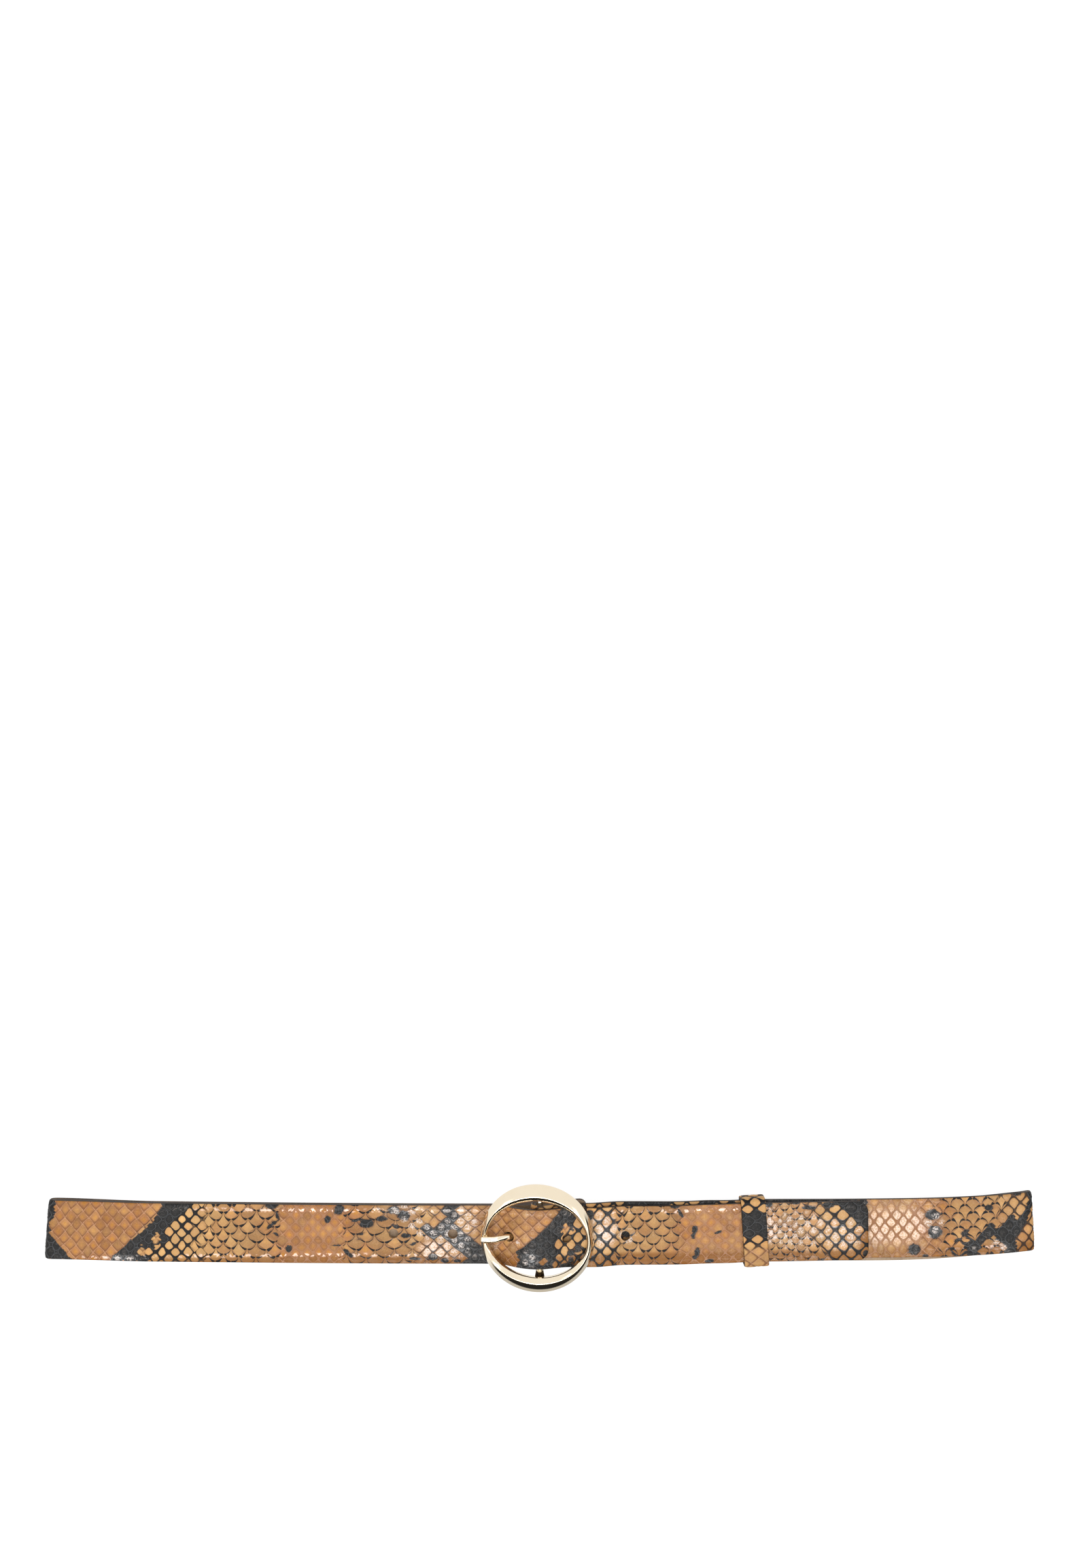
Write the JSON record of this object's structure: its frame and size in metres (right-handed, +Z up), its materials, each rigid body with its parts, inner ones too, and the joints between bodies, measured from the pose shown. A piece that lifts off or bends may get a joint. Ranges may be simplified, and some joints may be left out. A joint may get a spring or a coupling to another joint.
{
  "type": "embossed leather belt",
  "caption": "Flat leather waist belt with a snakeskin emboss, buckled into a pressed-flat loop, with an oval ring buckle, a prong and a leather keeper.",
  "frame": {"origin": "on the surface that the belt lies on, under the middle of the buckle, at the centre of the bounding box's underside", "axes": "+X along the belt towards its tip, +Y across the strap towards its upper edge in use, +Z up from the surface, out of the strap's front face"},
  "size_m": [0.4241, 0.0454, 0.0165],
  "materials": {
    "embossed_leather": "embossed, semi-gloss",
    "lining_leather": "matt",
    "pale_gold": "polished"
  },
  "bodies": {
    "root": {"strap_outer": "embossed_leather", "strap_lining": "lining_leather", "keeper": "embossed_leather", "buckle_frame": "pale_gold", "prong": "pale_gold"}
  },
  "joints": []
}
